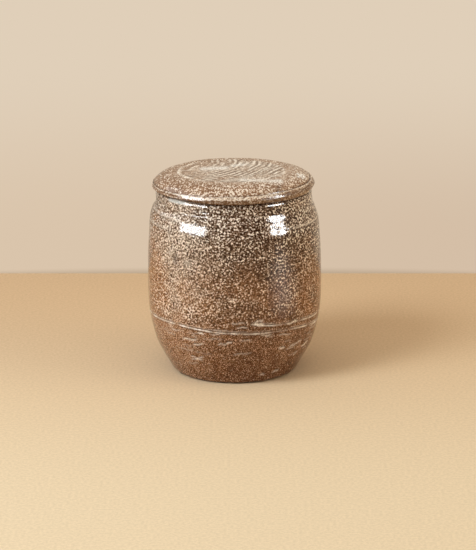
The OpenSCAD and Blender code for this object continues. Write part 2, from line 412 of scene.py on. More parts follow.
# A narrow band at the front right above the incised line is less orange: a painted grey reflection.
warm -= 0.22 * bell(wrap(az - 33), 12) * step01(z, 60, 80)
warm += 0.40 * bell(wrap(az + 64), 18) * step01(z, 148, 158) * step01(177 - z, 0, 5)
jar.marks["ashy"] = np.clip(0.65 * crown * (1 - 0.7 * bell(wrap(az + 64), 18)) + 0.25 * np.tanh(field(P, 26, 48)) * step01(z, 125, 150), 0, 1)
jar.marks["warm"] = np.clip(warm * (1 + 0.45 * np.tanh(field(P, 34, 46))) + 0.06 * np.tanh(field(P, 18, 47)), 0, 1)
# Two blemishes above the middle on the left: a dark one, and a greyish one beside it.
for mark, a0, z0, wa, wz in (("blemish", -42, 131.4, 2.6, 4.2), ("milky_and_sheen", -32, 129.7, 3.4, 2.3)):
    da = wrap(az - a0) * math.radians(1) * 89
    jar.marks[mark] = outside * np.exp(-0.5 * ((da / wa) ** 2 + ((z - z0) / wz) ** 2))
jar.marks["milky_and_sheen"] *= 0.55
# The painted pale reflection on the rim at the left.
jar.marks["rim_reflection"] = rim_reflection * step01(z, 186.2, 187.4) * step01(190.6 - z, 0, 0.7) * step01(r, 77, 78)

# Flat charts: the underside, the outside in two halves, the inside wall, and the inside bottom.
run = np.concatenate([[0], np.cumsum(np.hypot(*np.diff(jar_rows, axis=0).T))])
i1, i2, i3 = n_under, n_under + n_outer + n_top - 1, len(jar_rows) - 14
half = jar.n // 2


def outside_chart(s, j, face):
    second = face >= half
    return (0.006 + 0.654 * (j - half * second) / half,
            0.006 + 0.500 * second + 0.488 * (s - run[i1]) / (run[i2] - run[i1]))


def inside_chart(s, j, face):
    return 0.674 + 0.320 * (s - run[i2]) / (run[i3] - run[i2]), 0.632 - 0.626 * j / jar.n


jar_ob = jar.build("jar_glazed", [
    (0, i1 - 1, jar.disc_chart(0.790, 0.765, 0.112, 0, run[i1], True)),
    (i1 - 1, i2 - 1, outside_chart), (i2 - 1, i3 - 1, inside_chart),
    (i3 - 1, len(jar_rows) - 3, jar.disc_chart(0.934, 0.934, 0.056, run[-1], run[i3], False))])

# ---------------------------------------------------------------- the lid

TOP_Z = 207.6
# The groove between dome and lip is not concentric: the lip is narrow on the left and
# front, wide on the right. Both outlines have their points in step.
LID_NARROW = [
    [0, 207.6], [30.8, 207.55], [50.4, 207.4], [54.7, 207.4], [56, 207.42], [57.3, 207.38],
    [60.8, 207.4], [65.3, 207.13], [69.8, 206.2], [73.6, 204.95], [77.2, 203.15], [79.8, 200.95],
    [81.0, 199.2], [81.4, 197.95], [81.8, 198.45], [82.15, 198.1], [82.5, 197.0], [82.85, 195.8],
    [83.2, 194.8], [83.15, 193.9], [82.75, 192.8], [82.1, 191.6], [81.3, 190.8]]
LID_WIDE = [
    [0, 207.6], [30.8, 207.55], [50.4, 207.4], [54.7, 207.4], [56, 207.42], [57.3, 207.38],
    [60.6, 207.4], [64.7, 207.13], [68.9, 206.2], [72.3, 205.0], [75.2, 203.5], [77.0, 202.1],
    [77.9, 201.1], [78.4, 199.7], [79.2, 200.4], [80.4, 199.9], [81.7, 198.3], [82.6, 196.4],
    [83.2, 194.8], [83.15, 193.9], [82.75, 192.8], [82.1, 191.6], [81.3, 190.8]]
LID_TOP = (np.array(LID_NARROW) + LID_WIDE) / 2
lid_top = curve(LID_TOP, 8)
lid_seat = [[81.3, 190.8], [80.75, 190.7], [80.2, 190.9], [79.4, 191.03], [76, 191.0], [72.7, 191.0], [71.8, 190.75], [71.4, 190.1], [71.4, 184]]
ring_end = [(68.9 + 2.5 * math.cos(t), 183.5 + 2.5 * math.sin(t)) for t in np.linspace(0, -math.pi, 22)]
dome_in = [(54.4 + 12 * math.cos(t), 191.6 + 9 * math.sin(t)) for t in np.linspace(0, math.pi / 2, 24)]
lid_under = np.stack([np.linspace(54.4, 0, 27), np.linspace(200.6, 201.1, 27)], 1)


def lid_step(r, z):
    if r < 60:
        return 0.85
    if r < 77.5:
        return 1.2
    return 0.5


rows = np.concatenate([
    spaced(lid_top, lid_step),
    spaced(lid_seat, 0.8)[1:],
    spaced(ring_end, 0.8)[1:],
    spaced([(66.4, 183.5), (66.4, 191.6)], 1.6)[1:],
    spaced(dome_in, 1.4)[1:],
    lid_under[1:]])
rows[0, 0] = 0
lid = Turned(rows[::-1].copy())
az, z, r = lid.az, lid.z, lid.r
P = lid.xyz()
phi = np.degrees(np.arctan2(P[:, 1], P[:, 0]))  # plan angle from +X
turn = (az + 180) / 360
n_top_rows = len(spaced(lid_top, lid_step))
row_from_top = (len(rows) - 1 - (lid.row + 1))
on_top = row_from_top < n_top_rows
below = ~on_top

# Spread the two outlines apart again: the groove's radius follows an off-centre circle.
mean_s = np.concatenate([[0], np.cumsum(np.hypot(*np.diff(lid_top, axis=0).T))])
spread = (curve(LID_WIDE, 8) - curve(LID_NARROW, 8)) / 2
here = np.array([mean_s[np.argmin(np.hypot(*(lid_top - q).T))] for q in np.stack([r, z], 1)[::lid.n]])
here = np.repeat(here, lid.n)
wide = np.clip((1.8 * np.cos(np.radians(phi)) + 1.2 * np.sin(np.radians(phi))) / 1.7, -1.15, 1.15) + 0.10 * field(P, 40, 56)
for k in (0, 1):
    lid.moved[:, k] += on_top * wide * np.interp(here, mean_s, spread[:, k])
lid.moved[:, 0] += -0.25 * np.sin(lid.a)
# The rim of the lid runs 1.4 mm higher at the right than its mean, and as much lower at the left,
# and on the right its lower edge is cut back further.
across = np.cos(np.radians(phi))
tilt = np.where(across > 0, step01(r, 57, 79), step01(r, 73, 80.5))
lid.moved[:, 1] += on_top * 1.4 * across * tilt * step01(z, 191.0, 194.5)
lid.moved[:, 0] += on_top * 1.2 * np.clip(-across, 0, 1) ** 2 * step01(r, 74, 81) * step01(z, 191.0, 193)
lid.moved[:, 0] += (r > 79.4) * -1.1 * np.clip(across, 0, 1) ** 2 * step01(r, 79.4, 81.3) * step01(195.2 - z, 0, 3.2)
# On the left its lower edge is rubbed off, which bares the rim of the jar.
rubbed = step01(-across, 0.35, 0.8)
lid.moved[:, 1] += (r > 79.4) * 1.1 * rubbed * step01(r, 79.4, 80.6) * step01(194.2 - z, 0, 3.0)

lid.h += on_top * (0.14 * field(P, 70, 51) + 0.08 * np.cos(np.radians(2 * az + 40))) * step01(r, 20, 70)

# The flat face where the lid was cut off the wheel, a little off centre.
edge_r = 54.4 - 2.0 * np.cos(np.radians(phi)) + 0.35 * field(P, 34, 52)
disc = on_top * step01(edge_r - r, -0.6, 1.2)
rx, ry = P[:, 0] + 70, P[:, 1] - 45
rad = np.hypot(rx, ry) + 0.9 * field(P, 46, 53) + 0.3 * field(P, 17, 54)
RIDGES = [(47, .6), (53, .5), (60, .7), (66, .6), (71.5, .8), (77.5, .9), (83.6, 1), (90, .8), (95.5, .9), (101, .8),
          (106.6, 1), (110.6, .6), (114.6, 1), (120.6, 1), (126.3, .8), (131, .6), (137, .6)]
ridges = np.zeros(len(r))
ridge_light = np.zeros(len(r))
ridge_shade = np.zeros(len(r))
for i, (r0, s) in enumerate(RIDGES):
    amount = s * np.clip(0.62 + 0.55 * field(P, 26, 60 + i), 0, 1.3)
    d = rad - r0
    ridges += amount * (0.46 * bell(d, 0.80) + 0.16 * bell(d - 1.4, 1.1) - 0.20 * bell(d + 1.35, 0.75))
    ridge_light += 1.7 * amount * bell(d, 0.9)
    # Painted shade beside each ridge.
    ridge_shade += amount * (bell(d - 2.5, 1.0) + 0.6 * bell(d + 2.3, 0.8))
fine = np.sin(2 * math.pi * rad / 2.05 + 0.9 * field(P, 24, 80)) * (0.5 + 0.5 * np.tanh(field(P, 18, 81)))
left_calm = 0.65 + 0.35 * step01(P[:, 0] + 0.35 * P[:, 1], -52, -24)
lid.h += disc * (left_calm * ridges + 0.045 * fine + 0.05 * field(P, 7, 82))
# A few short drag marks of grit across the face.
g = np.random.default_rng(83)
for _ in range(16):
    cx, cy = g.uniform(-46, 46, 2)
    ang = math.radians(g.uniform(40, 75))
    u = (P[:, 0] - cx) * math.cos(ang) + (P[:, 1] - cy) * math.sin(ang)
    v = -(P[:, 0] - cx) * math.sin(ang) + (P[:, 1] - cy) * math.cos(ang)
    L = g.uniform(4, 11)
    lid.h += disc * -0.20 * bell(v, 0.6) * step01(u, -L, -L + 2) * step01(L - u, 0, 3)

# The ridge round that face: high on the left, low at the front.
edge_w = 0.30 + 0.70 * step01(62 - np.abs(wrap(phi - 190)), 0, 22) + 0.45 * step01(20 - np.abs(wrap(phi + 16)), 0, 10)
edge_w = np.clip(edge_w * (0.9 + 0.18 * field(P, 12, 84)), 0, 1.3)
d = r - edge_r
lid.h += on_top * edge_w * (0.62 * bell(d, 0.8) - 0.16 * bell(d + 2.0, 0.9) - 0.22 * bell(d - 2.3, 1.1))
# A second, inner arc on the left.
arc_w = step01(24 - np.abs(wrap(phi - 163)), 0, 12)
lid.h += on_top * arc_w * 0.42 * bell(r - 45.6, 0.8)
# Soft throwing rings on the shoulder of the lid.
lid.h += on_top * step01(r, 58, 62) * step01(78.4 - r, 0, 2) * 0.05 * np.sin(2 * math.pi * (r / 5.6 + turn) + 0.7 * field(P, 50, 85))
# The lip is a little uneven.
lip = on_top & (r > 78.8)
lid.h += lip * (0.07 * field(P, 30, 86) + 0.035 * field(P, 9, 87))

# Underneath: throwing rings in the dome, turning marks on the locating ring.
under_dome = below & (z > 190) & (r < 66.3)
lid.h += under_dome * 0.16 * np.sin(2 * math.pi * (r / 8.0 - turn) + 0.5 * field(P, 40, 88)) * step01(r, 2, 9)
lid.h += (below & (z < 190.2)) * (0.03 * np.sin(2 * math.pi * z / 1.9) + 0.03 * field(P, 12, 89))

lid.marks["bare"] = np.where(below, step01(80.6 + 0.3 * field(P, 10, 90) - r, 0, 0.8) * step01(r, 69.8, 70.9) * step01(z, 183.5, 186), 0)
lid.marks["inner"] = np.where(below, 1.0, 0.0)
lid.marks["disc"] = disc
# The lip's face, between points of its outline: pale glaze with a painted highlight down to its widest part, less far
# on the left.
at_groove, at_ridge = mean_s[13 * 8], mean_s[14 * 8]
leftward = step01(-np.cos(np.radians(phi)), 0.45, 0.95)
rightward = step01(np.cos(np.radians(phi)), 0.25, 0.7)
pale_end = mean_s[17 * 8 + 2] + (mean_s[15 * 8 + 6] - mean_s[17 * 8 + 2]) * np.maximum(1.15 * leftward, 1.2 * rightward)
lip_pale_and_lit = on_top * step01(here, at_ridge - 0.1, at_ridge + 0.5) * step01(pale_end + 0.3 * field(P, 6, 97) - here, 0, 0.6)
# Cream glaze with a painted highlight on the ridge round the cut face, the inner arc, the wire-cut ridges and the lip's
# face.
lid.marks["cream_and_highlight"] = np.clip(on_top * (1.1 * edge_w * bell(r - edge_r, 1.05) * step01(edge_w, 0.25, 0.9) + 1.0 * arc_w * bell(r - 45.6, 1.0))
                                  + disc * left_calm * 0.95 * ridge_light
                                  + lip_pale_and_lit * np.clip(0.52 + 0.42 * field(P, 3.4, 94), 0, 1), 0, 1.2)
u = (P[:, 0] - 44) * math.cos(math.radians(80)) + (P[:, 1] + 65) * math.sin(math.radians(80))
v = -(P[:, 0] - 44) * math.sin(math.radians(80)) + (P[:, 1] + 65) * math.cos(math.radians(80))
smear = bell(v, 1.1) * step01(u, -8, -5) * step01(8 - u, 0, 3) * on_top
centred = step01(across, -0.80, -0.40)
# Painted shade on the lip's lower face and along the lid's lower edge where it meets the jar.
shade_line = on_top * (bell(here - pale_end - 0.9, 0.5) * np.clip(0.6 + 0.35 * field(P, 8, 95), 0, 1.2)
                       + centred * 0.75 * step01(here - pale_end, 0.6, 1.8) * np.clip(0.85 + 0.35 * field(P, 4, 98), 0, 1.2))
shade_line += step01(r, 79.2, 79.9) * step01(191.9 + 0.6 * rubbed - z, 0, 0.7)
# Painted shade in the groove between dome and lip.
groove = on_top * bell(here - at_groove + 0.35, 0.62) * np.clip(1.1 + 0.15 * field(P, 16, 96), 0, 1.2)
lid.marks["shade_and_smear"] = np.clip(smear + shade_line + groove + 1.25 * disc * left_calm * ridge_shade, 0, 1)
lid.h += smear * 0.18
lid.marks["rich"] = (-0.11 - 0.05 * disc) * step01(-P[:, 0], 20, 60) - 0.03 * (1 - disc) + 0.04 * np.tanh(field(P, 60, 91)) + 0.03 * np.tanh(field(P, 22, 92))
lid.marks["calm"] = 0.0 * disc
lid.marks["ashy"] = 0.7 * disc * step01(P[:, 0], -36, 12)
lid.marks["tan"] = 0 * r
lid.marks["warm"] = np.clip(0.45 + 0.30 * np.tanh(field(P, 34, 93)) + 0.35 * bell(np.hypot(P[:, 0] + 38, P[:, 1] - 2), 22), 0, 1)
lid.marks["blemish"] = 0 * r
# Painted pale sheen in two streaks across the cut face, and over the ridge at the front right.
milky_and_sheen = 0 * r
for x0, y0, x1, y1, w, amount in ((-32, 10, -9, 14, 3.0, 1.0), (-1, 25, 12, 31, 2.2, 1.0), (8, -42, 34, -46, 2.4, 0.8), (38, -46, 46, -46, 2.6, 1.1)):
    t = np.clip(((P[:, 0] - x0) * (x1 - x0) + (P[:, 1] - y0) * (y1 - y0)) / ((x1 - x0) ** 2 + (y1 - y0) ** 2), 0, 1)
    milky_and_sheen = np.maximum(milky_and_sheen, amount * bell(np.hypot(P[:, 0] - x0 - t * (x1 - x0), 0.5 * (P[:, 1] - y0 - t * (y1 - y0))), w))
# A cluster of painted glints low on the right.
for x0, y0, w in ((66.0, -12.5, 0.7), (68.2, -18.0, 0.8), (70.5, -12.0, 0.6), (72.0, -17.5, 0.8), (66.0, -23.0, 0.7), (70.4, -24.5, 0.6)):
    milky_and_sheen = np.maximum(milky_and_sheen, 2.4 * bell(np.hypot(P[:, 0] - x0, 0.45 * (P[:, 1] - y0)), 1.25 * w))
lid.marks["milky_and_sheen"] = on_top * milky_and_sheen
lid.marks["rim_reflection"] = 0 * r
run = np.concatenate([[0], np.cumsum(np.hypot(*np.diff(lid.rows, axis=0).T))])
edge = len(rows) - n_top_rows
lid_ob = lid.build("lid_glazed", [
    (0, edge - 1, lid.disc_chart(0.778, 0.778, 0.214, 0, run[edge], True)),
    (edge - 1, len(rows) - 3, lid.disc_chart(0.364, 0.364, 0.356, run[-1], run[edge], False))])

# ---------------------------------------------------------------- materials


class Nodes:
    """Short names for building a material's node tree."""

    def __init__(self, name):
        self.mat = bpy.data.materials.new(name)
        self.mat.use_nodes = True
        self.t = self.mat.node_tree
        self.t.nodes.clear()
        self.out = self.new("ShaderNodeOutputMaterial")
        self.bsdf = self.new("ShaderNodeBsdfPrincipled")
        self.t.links.new(self.bsdf.outputs[0], self.out.inputs["Surface"])
        self.coords = self.new("ShaderNodeTexCoord").outputs["Object"]

    def new(self, kind, **props):
        node = self.t.nodes.new(kind)
        for k, v in props.items():
            setattr(node, k, v)
        return node

    def put(self, socket, value):
        if isinstance(value, bpy.types.NodeSocket):
            self.t.links.new(value, socket)
        elif isinstance(value, (tuple, list)) and len(value) == 3 and socket.type == "RGBA":
            socket.default_value = (*value, 1)
        else:
            socket.default_value = value

    def math(self, op, a, b=0.0, c=0.0, clamp=False):
        n = self.new("ShaderNodeMath", operation=op, use_clamp=clamp)
        for s, v in zip(n.inputs, (a, b, c)):
            self.put(s, v)
        return n.outputs[0]

    def vmath(self, op, a, b):
        n = self.new("ShaderNodeVectorMath", operation=op)
        self.put(n.inputs[0], a)
        self.put(n.inputs[1], b)
        return n.outputs[0]

    def scale(self, v, k):
        n = self.new("ShaderNodeVectorMath", operation="SCALE")
        self.put(n.inputs[0], v)
        self.put(n.inputs["Scale"], k)
        return n.outputs[0]

    def noise(self, size, detail=1.0, rough=0.5, distortion=0.0, at=None, color=False):
        """Noise with features about size metres apart."""
        n = self.new("ShaderNodeTexNoise", noise_dimensions="3D", normalize=True)
        self.put(n.inputs["Vector"], at or self.coords)
        self.put(n.inputs["Scale"], 1.54 / size)
        self.put(n.inputs["Detail"], detail)
        self.put(n.inputs["Roughness"], rough)
        self.put(n.inputs["Distortion"], distortion)
        return n.outputs["Color" if color else "Fac"]

    def worms(self, size, at=None, bunch=3.6):
        """Band-limited noise whose streaks are about size metres apart."""
        n = self.new("ShaderNodeTexGabor", gabor_type="3D")
        self.put(n.inputs["Vector"], at or self.coords)
        self.put(n.inputs["Scale"], 1.0 / (size * bunch))
        self.put(n.inputs["Frequency"], bunch)
        self.put(n.inputs["Anisotropy"], 0.0)
        return n.outputs["Value"]

    def cells(self, size, feature="F1", at=None, randomness=1.0, out="Distance", smooth=None):
        n = self.new("ShaderNodeTexVoronoi", voronoi_dimensions="3D", feature=feature)
        self.put(n.inputs["Vector"], at or self.coords)
        self.put(n.inputs["Scale"], 1.0 / size)
        self.put(n.inputs["Randomness"], randomness)
        if smooth is not None:
            self.put(n.inputs["Smoothness"], smooth)
        return n.outputs[out]

    def ramp(self, x, lo, hi, to_lo=0.0, to_hi=1.0, smooth=True):
        n = self.new("ShaderNodeMapRange", interpolation_type="SMOOTHSTEP" if smooth else "LINEAR", clamp=True)
        for name, v in (("Value", x), ("From Min", lo), ("From Max", hi), ("To Min", to_lo), ("To Max", to_hi)):
            self.put(n.inputs[name], v)
        return n.outputs[0]

    def mix(self, k, a, b):
        n = self.new("ShaderNodeMix", data_type="RGBA", blend_type="MIX", clamp_factor=True)
        self.put(n.inputs["Factor"], k)
        self.put(n.inputs[6], a)
        self.put(n.inputs[7], b)
        return n.outputs[2]

    def blend(self, k, a, b):
        """The number a where k is 0 and b where k is 1."""
        n = self.new("ShaderNodeMix", data_type="FLOAT", clamp_factor=True)
        for s, v in zip((n.inputs[0], n.inputs[2], n.inputs[3]), (k, a, b)):
            self.put(s, v)
        return n.outputs[0]

    def tint(self, a, b, k=1.0):
        n = self.new("ShaderNodeMix", data_type="RGBA", blend_type="MULTIPLY", clamp_factor=True)
        self.put(n.inputs["Factor"], k)
        self.put(n.inputs[6], a)
        self.put(n.inputs[7], b)
        return n.outputs[2]

    def mark(self, name):
        return self.new("ShaderNodeAttribute", attribute_name=name).outputs["Fac"]

    def xyz(self):
        n = self.new("ShaderNodeSeparateXYZ")
        self.t.links.new(self.coords, n.inputs[0])
        return n.outputs

    def bump(self, height, distance, strength=1.0, normal=None):
        n = self.new("ShaderNodeBump")
        self.put(n.inputs["Height"], height)
        self.put(n.inputs["Distance"], distance)
        self.put(n.inputs["Strength"], strength)
        if normal is not None:
            self.put(n.inputs["Normal"], normal)
        return n.outputs[0]


def add(N, *xs):
    total = xs[0]
    for x in xs[1:]:
        total = N.math("ADD", total, x)
    return total


def mul(N, *xs):
    total = xs[0]
    for x in xs[1:]:
        total = N.math("MULTIPLY", total, x)
    return total


def glaze(name, lid=False):
    N = Nodes(name)
    x, y, z = N.xyz()
    bare, inner = N.mark("bare"), N.mark("inner")
    rich, calm, warm, tan = N.mark("rich"), N.mark("calm"), N.mark("warm"), N.mark("tan")
    big = 1.12 if lid else 0.94

    # A slow warp keeps the mottling from running in even rows.
    warp = N.vmath("SUBTRACT", N.noise(0.006, 0.0, color=True), (0.5, 0.5, 0.5))
    at = N.vmath("ADD", N.coords, N.scale(warp, 0.0010))
    if lid:  # drawn out along Y, as the glaze was brushed
        at = N.vmath("MULTIPLY", at, (1.0, 0.62, 1.0))

    # Mottling: dots and short worms about 3 mm apart, from pits of dark brown over
    # a middle brown to cream.
    worms = N.worms(0.0031 * big, at, 2.0)
    grit = N.noise(0.0019 * big, 0.5, at=at)
    clump = N.noise(0.0044, 0.0, at=at)
    pattern = add(N, mul(N, worms, 1.0), mul(N, grit, 2.2), mul(N, clump, 0.7), -1.45)
    if not lid:
        worms = N.worms(0.0030, at, 2.3)
        pattern = add(N, mul(N, worms, 1.0), mul(N, N.noise(0.0026, 0.3, at=at), 1.8), mul(N, grit, 0.8), -1.28)
        fine = N.noise(0.00135, 0.5, at=at)
        pattern = N.blend(calm, pattern, add(N, mul(N, fine, 2.6), mul(N, grit, 0.9), -1.25))
    patch = N.noise(0.014, 1.0, 0.5)
    shade = add(N, pattern, rich, mul(N, N.math("SUBTRACT", patch, 0.5), 0.30), mul(N, inner, -0.05))
    if lid:
        dark = N.mix(calm, (0.205, 0.105, 0.058), (0.330, 0.210, 0.130))
        mid = N.mix(calm, (0.330, 0.215, 0.145), (0.560, 0.450, 0.360))
        mid = N.mix(mul(N, warm, 0.7), mid, (0.400, 0.225, 0.130))
        pale = N.mix(calm, (0.800, 0.665, 0.560), (0.900, 0.830, 0.740))
    else:
        dark = N.mix(calm, (0.024, 0.0095, 0.005), (0.082, 0.030, 0.011))
        dark = N.mix(mul(N, warm, 0.7), dark, N.mix(calm, (0.170, 0.062, 0.019), (0.120, 0.042, 0.014)))
        dark = N.mix(mul(N, tan, 0.8), dark, (0.072, 0.034, 0.018))
        mid = N.mix(calm, (0.190, 0.102, 0.061), (0.225, 0.096, 0.046))
        mid = N.mix(tan, mid, N.mix(calm, (0.400, 0.297, 0.224), (0.330, 0.142, 0.048)))
        mid = N.mix(warm, mid, N.mix(calm, (0.385, 0.178, 0.073), (0.315, 0.120, 0.036)))
        pale = N.mix(calm, (0.930, 0.800, 0.700), (0.700, 0.445, 0.295))
        pale = N.mix(mul(N, warm, 0.5), pale, (0.880, 0.640, 0.470))
        fleck = N.ramp(N.cells(0.0052), 0.10, 0.17, 1.0, 0.0)
    tone = N.ramp(N.noise(0.009, 1.0), 0.35, 0.65)
    ashy = N.mark("ashy")
    pale = N.mix(add(N, mul(N, tone, N.blend(calm, 0.25, 0.10)), mul(N, ashy, 0.6)), pale, (0.93, 0.87, 0.80))
    mid = N.mix(mul(N, ashy, 0.6), mid, (0.200, 0.132, 0.094) if not lid else (0.53, 0.43, 0.35))
    low_x = 0.10 if not lid else 0.16
    body = N.mix(N.ramp(shade, low_x, 0.50, smooth=False), dark, mid)
    dots = N.ramp(shade, 0.50, 0.84, smooth=False)
    colour = N.mix(dots, body, pale)
    if not lid:  # a few bright flecks on the lower wall
        colour = N.mix(mul(N, fleck, calm, 0.8), colour, (0.80, 0.62, 0.48))
    grain = N.noise(0.0011, 1.0, 0.6)
    colour = N.tint(colour, N.mix(N.ramp(grain, 0.35, 0.68), (0.90, 0.89, 0.88), (1.08, 1.08, 1.08)))

    line, groove = N.mark("cream_and_highlight"), N.mark("shade_and_smear")
    broken = N.ramp(N.noise(0.0024, 1.0), 0.34, 0.56, 0.45 if not lid else 0.30, 1.0)
    # Painted shade in grooves, beside ridges, under the lid's lip and at the foot, with a dark glaze smear on the lid.
    colour = N.mix(mul(N, groove, 0.75), colour, (0.045, 0.022, 0.013) if not lid else (0.10, 0.045, 0.02))
    # Cream glaze and painted highlights along edges, ridges and the lid's lip.
    colour = N.mix(mul(N, line, broken, 0.85 if not lid else 0.95), colour, (0.90, 0.80, 0.72) if not lid else (0.94, 0.84, 0.74))
    # A greyish blemish on the jar; painted sheen and glints on the lid.
    colour = N.mix(mul(N, N.mark("milky_and_sheen"), N.ramp(grit, 0.35, 0.6, 0.40, 0.90)), colour, (0.92, 0.88, 0.84) if lid else (0.54, 0.48, 0.42))
    colour = N.mix(mul(N, N.mark("blemish"), 0.75), colour, (0.070, 0.040, 0.030))

    # A painted pale reflection on the jar's rim at the left.
    colour = N.mix(mul(N, N.mark("rim_reflection"), 0.8), colour, (0.74, 0.77, 0.78))

    # The inside has a plainer, darker glaze.
    plain = N.mix(N.ramp(N.noise(0.03, 2.0), 0.35, 0.65), (0.072, 0.036, 0.020), (0.135, 0.066, 0.034))
    plain = N.mix(mul(N, dots, 0.35), plain, (0.36, 0.25, 0.16))
    colour = N.mix(inner, colour, plain)

    # Bare clay, toasted where the glaze ends.
    clay = N.mix(N.ramp(N.noise(0.018, 3.0, 0.6), 0.38, 0.64), (0.285, 0.158, 0.092), (0.400, 0.262, 0.170))
    grog = N.cells(0.0021, "F1", randomness=1.0)
    clay = N.mix(N.ramp(grog, 0.10, 0.22, 0.7, 0.0), clay, (0.115, 0.066, 0.043))
    clay = N.tint(clay, N.mix(N.ramp(N.noise(0.0009, 2.0), 0.35, 0.65), (0.82, 0.80, 0.78), (1.1, 1.1, 1.1)))
    toast = mul(N, N.ramp(bare, 0.05, 0.45), N.ramp(bare, 0.55, 0.98, 1.0, 0.0))
    clay = N.mix(mul(N, toast, 0.8), clay, (0.150, 0.058, 0.026))
    is_bare = N.ramp(bare, 0.35, 0.65)
    colour = N.mix(is_bare, colour, clay)

    rough = add(N, 0.075, mul(N, dots, 0.03), mul(N, N.noise(0.004, 1.0), 0.03))
    if lid:
        rough = add(N, 0.17, mul(N, dots, 0.05), mul(N, N.mark("disc"), 0.12))
    rough = N.blend(inner, rough, 0.22)
    rough = N.blend(is_bare, rough, 0.82)

    # Orange peel: low bumps at the size of the mottling, with fine pinholes.
    peel = add(N, mul(N, worms, 1.0), mul(N, N.noise(0.0075, 0.0), 1.1))
    if not lid:
        for az0, z0 in ((29.0, 0.1665), (32.5, 0.1655), (30.4, 0.1650), (30.6, 0.1612)):
            a0 = math.radians(az0)
            rr = 0.0872 - (z0 - 0.160) * 0.3
            away = N.new("ShaderNodeVectorMath", operation="DISTANCE")
            N.put(away.inputs[0], N.coords)
            N.put(away.inputs[1], (rr * math.sin(a0), -rr * math.cos(a0), z0))
            peel = add(N, peel, N.ramp(away.outputs["Value"], 0.0006, 0.0017, -2.4, 0.0))
    normal = N.bump(peel, 0.00009 if not lid else 0.00020, 1.0)
    pin = N.ramp(N.cells(0.0056, "F1", randomness=1.0), 0.07, 0.13, 1.0, 0.0)
    normal = N.bump(mul(N, pin, -1.0), 0.00010, 0.7, normal)
    rough_clay = add(N, mul(N, N.noise(0.0012, 3.0, 0.65), 1.0), N.ramp(grog, 0.05, 0.25, 0.35, 0.0))
    clay_normal = N.bump(rough_clay, 0.00035, 1.0)
    mixed = N.new("ShaderNodeMix", data_type="VECTOR", clamp_factor=True)
    N.put(mixed.inputs["Factor"], is_bare)
    N.put(mixed.inputs[4], normal)
    N.put(mixed.inputs[5], clay_normal)

    N.put(N.bsdf.inputs["Base Color"], colour)
    N.put(N.bsdf.inputs["Roughness"], rough)
    N.put(N.bsdf.inputs["Normal"], mixed.outputs[1])
    N.bsdf.inputs["IOR"].default_value = 1.52
    N.bsdf.inputs["Specular IOR Level"].default_value = 0.30
    return N.mat


jar_ob.data.materials.append(glaze("jar_glaze_look"))
lid_ob.data.materials.append(glaze("lid_glaze_look", lid=True))

for ob, node, body, slot in ((jar_ob, "jar_body", "jar", "jar_glaze"), (lid_ob, "lid", "lid", "lid_glaze")):
    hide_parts(node)
    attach(ob, body)

# ---------------------------------------------------------------- the stage


def plane(name, x0, x1, y0, y1, z, nx=1, ny=1):
    me = bpy.data.meshes.new(name)
    me.from_pydata([(x0, y0, z), (x1, y0, z), (x1, y1, z), (x0, y1, z)], [], [(0, 1, 2, 3)])
    ob = bpy.data.objects.new(name, me)
    bpy.context.scene.collection.objects.link(ob)
    return ob


floor = plane("floor", -1.35, 1.35, -1.7, 0.364, 0.0)
F = Nodes("floor_paper")
fx, fy, fz = F.xyz()
# The paper darkens towards the back: painted falloff of the light.
tone = F.mix(F.ramp(fy, -0.45, 0.36), (0.718, 0.580, 0.410), (0.655, 0.455, 0.280))
fibre = F.noise(0.0045, 3.0, 0.65)
tone = F.tint(tone, F.mix(F.ramp(fibre, 0.32, 0.68), (0.93, 0.925, 0.91), (1.055, 1.055, 1.06)))
F.put(F.bsdf.inputs["Base Color"], tone)
F.put(F.bsdf.inputs["Roughness"], 0.85)
F.bsdf.inputs["Specular IOR Level"].default_value = 0.15
F.put(F.bsdf.inputs["Normal"], F.bump(F.noise(0.003, 2.0, 0.6), 0.0002, 0.6))
floor.data.materials.append(F.mat)

world = bpy.data.worlds.new("studio")
bpy.context.scene.world = world
world.use_nodes = True
wt = world.node_tree
wt.nodes.clear()


def wnew(kind, **props):
    n = wt.nodes.new(kind)
    for k, v in props.items():
        setattr(n, k, v)
    return n


def wrange(x, a, b, c, d, smooth=True):
    n = wnew("ShaderNodeMapRange", interpolation_type="SMOOTHSTEP" if smooth else "LINEAR", clamp=True)
    wt.links.new(x, n.inputs["Value"])
    for name, v in (("From Min", a), ("From Max", b), ("To Min", c), ("To Max", d)):
        n.inputs[name].default_value = v
    return n.outputs[0]


def wmix(k, a, b):
    n = wnew("ShaderNodeMix", data_type="RGBA")
    for s, v in ((n.inputs["Factor"], k), (n.inputs[6], a), (n.inputs[7], b)):
        if isinstance(v, bpy.types.NodeSocket):
            wt.links.new(v, s)
        elif isinstance(v, tuple):
            s.default_value = (*v, 1)
        else:
            s.default_value = v
    return n.outputs[2]


wcoord = wnew("ShaderNodeTexCoord")
wsep = wnew("ShaderNodeSeparateXYZ")
wt.links.new(wcoord.outputs["Generated"], wsep.inputs[0])
wx, wy, wz = wsep.outputs
# The wall as the camera sees it: painted light, paler up and to the left, with a thin painted shade where it meets the
# floor.
wall = wmix(wrange(wx, -0.11, 0.11, 0, 1), (0.700, 0.556, 0.411), (0.662, 0.518, 0.384))
wall = wmix(wrange(wz, -0.245, -0.165, 0, 1), wall, (0.745, 0.624, 0.485))
wall = wmix(wrange(wz, -0.2615, -0.2580, 0.75, 0), wall, (0.46, 0.35, 0.24))
wall = wmix(wrange(wz, -0.266, -0.2625, 1, 0), wall, (0.66, 0.54, 0.41))
